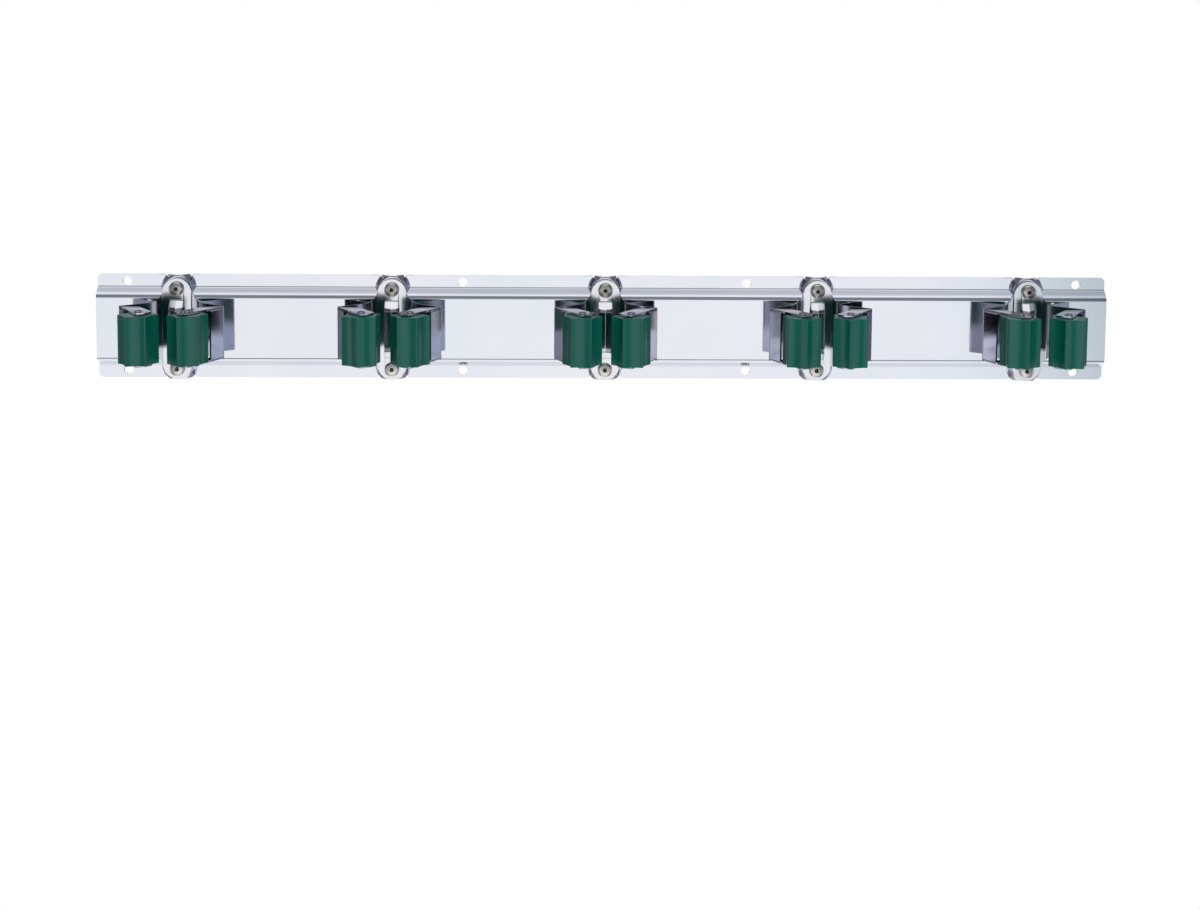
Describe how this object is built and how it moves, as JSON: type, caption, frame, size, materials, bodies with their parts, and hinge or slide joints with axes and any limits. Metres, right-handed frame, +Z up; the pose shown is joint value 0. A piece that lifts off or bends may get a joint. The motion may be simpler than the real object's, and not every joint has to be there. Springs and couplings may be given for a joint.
{
  "type": "wall-mounted tool rack",
  "caption": "Zinc-plated steel wall rail with riveted spring clamps; each clamp grips a tool handle between two fluted green rubber rollers and a bent stop strap.",
  "frame": {"origin": "on the wall plane, at the middle of the rail's length and height", "axes": "+X runs along the rail to the right seen from the front, +Z is up, and the wall lies behind at +Y; the rack stands out to -Y"},
  "size_m": [0.66, 0.0562, 0.068],
  "materials": {
    "zinc_rail": "bright zinc-plated pressed sheet, smooth and glossy",
    "spring_steel": "zinc-plated spring sheet, satin and greyer than the rail",
    "bright_zinc": "bright zinc-plated sheet, smooth",
    "rivet_metal": "smooth pressed rivet heads, satin",
    "pin_steel": "plated pins with domed ends",
    "green_rubber": "dark green moulded rubber, satin"
  },
  "bodies": {
    "rack": {"wall_rail": "zinc_rail", "blind_rivets": "rivet_metal", "spring_root_1": "spring_steel", "backing_plate_1": "bright_zinc", "stop_strap_1": "bright_zinc", "spring_root_2": "spring_steel", "backing_plate_2": "bright_zinc", "stop_strap_2": "bright_zinc", "spring_root_3": "spring_steel", "backing_plate_3": "bright_zinc", "stop_strap_3": "bright_zinc", "spring_root_4": "spring_steel", "backing_plate_4": "bright_zinc", "stop_strap_4": "bright_zinc", "spring_root_5": "spring_steel", "backing_plate_5": "bright_zinc", "stop_strap_5": "bright_zinc"},
    "left_jaw_1": {"left_arm_1": "spring_steel", "left_pin_1": "pin_steel"},
    "left_grip_1": {"left_roller_1": "green_rubber"},
    "right_jaw_1": {"right_arm_1": "spring_steel", "right_pin_1": "pin_steel"},
    "right_grip_1": {"right_roller_1": "green_rubber"},
    "left_jaw_2": {"left_arm_2": "spring_steel", "left_pin_2": "pin_steel"},
    "left_grip_2": {"left_roller_2": "green_rubber"},
    "right_jaw_2": {"right_arm_2": "spring_steel", "right_pin_2": "pin_steel"},
    "right_grip_2": {"right_roller_2": "green_rubber"},
    "left_jaw_3": {"left_arm_3": "spring_steel", "left_pin_3": "pin_steel"},
    "left_grip_3": {"left_roller_3": "green_rubber"},
    "right_jaw_3": {"right_arm_3": "spring_steel", "right_pin_3": "pin_steel"},
    "right_grip_3": {"right_roller_3": "green_rubber"},
    "left_jaw_4": {"left_arm_4": "spring_steel", "left_pin_4": "pin_steel"},
    "left_grip_4": {"left_roller_4": "green_rubber"},
    "right_jaw_4": {"right_arm_4": "spring_steel", "right_pin_4": "pin_steel"},
    "right_grip_4": {"right_roller_4": "green_rubber"},
    "left_jaw_5": {"left_arm_5": "spring_steel", "left_pin_5": "pin_steel"},
    "left_grip_5": {"left_roller_5": "green_rubber"},
    "right_jaw_5": {"right_arm_5": "spring_steel", "right_pin_5": "pin_steel"},
    "right_grip_5": {"right_roller_5": "green_rubber"}
  },
  "joints": [
    {"name": "left_arm_bend_1", "type": "hinge", "parent": "rack", "child": "left_jaw_1", "pos_m": [-0.2912, -0.00745, -0.0007], "axis": [0, 0, -1], "range_deg": [0, 18], "stiffness_Nm_per_rad": 1.2},
    {"name": "left_roller_spin_1", "type": "hinge", "parent": "left_jaw_1", "child": "left_grip_1", "pos_m": [-0.2927, -0.0437, -0.0007], "axis": [0, 0, -1], "continuous": true},
    {"name": "right_arm_bend_1", "type": "hinge", "parent": "rack", "child": "right_jaw_1", "pos_m": [-0.2636, -0.00745, -0.0007], "axis": [0, 0, 1], "range_deg": [0, 18], "stiffness_Nm_per_rad": 1.2},
    {"name": "right_roller_spin_1", "type": "hinge", "parent": "right_jaw_1", "child": "right_grip_1", "pos_m": [-0.2621, -0.0437, -0.0007], "axis": [0, 0, 1], "continuous": true},
    {"name": "left_arm_bend_2", "type": "hinge", "parent": "rack", "child": "left_jaw_2", "pos_m": [-0.1525, -0.00745, -0.0007], "axis": [0, 0, -1], "range_deg": [0, 18], "stiffness_Nm_per_rad": 1.2},
    {"name": "left_roller_spin_2", "type": "hinge", "parent": "left_jaw_2", "child": "left_grip_2", "pos_m": [-0.154, -0.0437, -0.0007], "axis": [0, 0, -1], "continuous": true},
    {"name": "right_arm_bend_2", "type": "hinge", "parent": "rack", "child": "right_jaw_2", "pos_m": [-0.1249, -0.00745, -0.0007], "axis": [0, 0, 1], "range_deg": [0, 18], "stiffness_Nm_per_rad": 1.2},
    {"name": "right_roller_spin_2", "type": "hinge", "parent": "right_jaw_2", "child": "right_grip_2", "pos_m": [-0.1234, -0.0437, -0.0007], "axis": [0, 0, 1], "continuous": true},
    {"name": "left_arm_bend_3", "type": "hinge", "parent": "rack", "child": "left_jaw_3", "pos_m": [-0.0138, -0.00745, -0.0007], "axis": [0, 0, -1], "range_deg": [0, 18], "stiffness_Nm_per_rad": 1.2},
    {"name": "left_roller_spin_3", "type": "hinge", "parent": "left_jaw_3", "child": "left_grip_3", "pos_m": [-0.0153, -0.0437, -0.0007], "axis": [0, 0, -1], "continuous": true},
    {"name": "right_arm_bend_3", "type": "hinge", "parent": "rack", "child": "right_jaw_3", "pos_m": [0.0138, -0.00745, -0.0007], "axis": [0, 0, 1], "range_deg": [0, 18], "stiffness_Nm_per_rad": 1.2},
    {"name": "right_roller_spin_3", "type": "hinge", "parent": "right_jaw_3", "child": "right_grip_3", "pos_m": [0.0153, -0.0437, -0.0007], "axis": [0, 0, 1], "continuous": true},
    {"name": "left_arm_bend_4", "type": "hinge", "parent": "rack", "child": "left_jaw_4", "pos_m": [0.1249, -0.00745, -0.0007], "axis": [0, 0, -1], "range_deg": [0, 18], "stiffness_Nm_per_rad": 1.2},
    {"name": "left_roller_spin_4", "type": "hinge", "parent": "left_jaw_4", "child": "left_grip_4", "pos_m": [0.1234, -0.0437, -0.0007], "axis": [0, 0, -1], "continuous": true},
    {"name": "right_arm_bend_4", "type": "hinge", "parent": "rack", "child": "right_jaw_4", "pos_m": [0.1525, -0.00745, -0.0007], "axis": [0, 0, 1], "range_deg": [0, 18], "stiffness_Nm_per_rad": 1.2},
    {"name": "right_roller_spin_4", "type": "hinge", "parent": "right_jaw_4", "child": "right_grip_4", "pos_m": [0.154, -0.0437, -0.0007], "axis": [0, 0, 1], "continuous": true},
    {"name": "left_arm_bend_5", "type": "hinge", "parent": "rack", "child": "left_jaw_5", "pos_m": [0.2636, -0.00745, -0.0007], "axis": [0, 0, -1], "range_deg": [0, 18], "stiffness_Nm_per_rad": 1.2},
    {"name": "left_roller_spin_5", "type": "hinge", "parent": "left_jaw_5", "child": "left_grip_5", "pos_m": [0.2621, -0.0437, -0.0007], "axis": [0, 0, -1], "continuous": true},
    {"name": "right_arm_bend_5", "type": "hinge", "parent": "rack", "child": "right_jaw_5", "pos_m": [0.2912, -0.00745, -0.0007], "axis": [0, 0, 1], "range_deg": [0, 18], "stiffness_Nm_per_rad": 1.2},
    {"name": "right_roller_spin_5", "type": "hinge", "parent": "right_jaw_5", "child": "right_grip_5", "pos_m": [0.2927, -0.0437, -0.0007], "axis": [0, 0, 1], "continuous": true}
  ]
}
